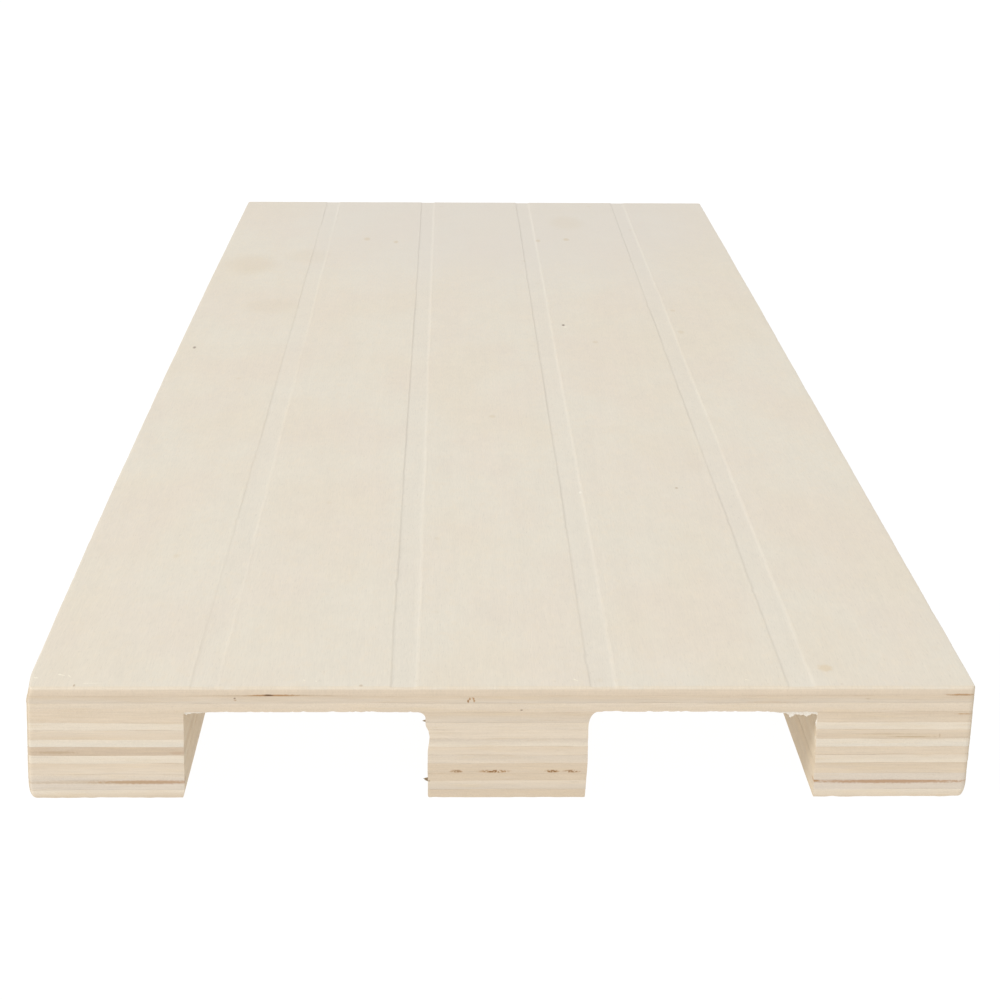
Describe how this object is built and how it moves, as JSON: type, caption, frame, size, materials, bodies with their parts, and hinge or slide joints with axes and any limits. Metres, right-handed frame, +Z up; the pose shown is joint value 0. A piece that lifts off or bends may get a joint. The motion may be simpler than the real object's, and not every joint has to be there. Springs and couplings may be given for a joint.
{
  "type": "wooden pallet",
  "caption": "Long flat wooden pallet milled from one thick plywood blank: a grooved deck that looks like laid boards, on full-length runners with open channels between them.",
  "frame": {"origin": "on the floor, at the middle of the footprint", "axes": "+X across the width, +Y along the length and along the channels, +Z up through the deck"},
  "size_m": [0.14, 0.4, 0.0176],
  "materials": {
    "face_veneer": "sanded birch face veneer, unfinished, matt",
    "long_grain_veneer": "sawn birch veneer, grain along the pallet, unfinished",
    "cross_grain_veneer": "sawn birch veneer, grain across the pallet, unfinished",
    "foot_veneer": "birch face veneer on the underside of the runners, unfinished, matt"
  },
  "bodies": {
    "root": {"centre_runner_ply_04_cross": "cross_grain_veneer", "centre_runner_ply_05_long": "long_grain_veneer", "centre_runner_ply_06_cross": "cross_grain_veneer", "centre_runner_ply_07_long": "long_grain_veneer", "centre_runner_ply_08_cross": "cross_grain_veneer", "centre_runner_ply_09_long": "long_grain_veneer", "centre_runner_ply_10_cross": "cross_grain_veneer", "centre_runner_ply_11_long": "long_grain_veneer", "centre_runner_ply_12_cross": "cross_grain_veneer", "centre_runner_ply_13_foot": "foot_veneer", "deck_ply_01_face": "face_veneer", "deck_ply_02_cross": "cross_grain_veneer", "deck_ply_03_long": "long_grain_veneer", "left_runner_ply_04_cross": "cross_grain_veneer", "left_runner_ply_05_long": "long_grain_veneer", "left_runner_ply_06_cross": "cross_grain_veneer", "left_runner_ply_07_long": "long_grain_veneer", "left_runner_ply_08_cross": "cross_grain_veneer", "left_runner_ply_09_long": "long_grain_veneer", "left_runner_ply_10_cross": "cross_grain_veneer", "left_runner_ply_11_long": "long_grain_veneer", "left_runner_ply_12_cross": "cross_grain_veneer", "left_runner_ply_13_foot": "foot_veneer", "right_runner_ply_04_cross": "cross_grain_veneer", "right_runner_ply_05_long": "long_grain_veneer", "right_runner_ply_06_cross": "cross_grain_veneer", "right_runner_ply_07_long": "long_grain_veneer", "right_runner_ply_08_cross": "cross_grain_veneer", "right_runner_ply_09_long": "long_grain_veneer", "right_runner_ply_10_cross": "cross_grain_veneer", "right_runner_ply_11_long": "long_grain_veneer", "right_runner_ply_12_cross": "cross_grain_veneer", "right_runner_ply_13_foot": "foot_veneer"}
  },
  "joints": []
}
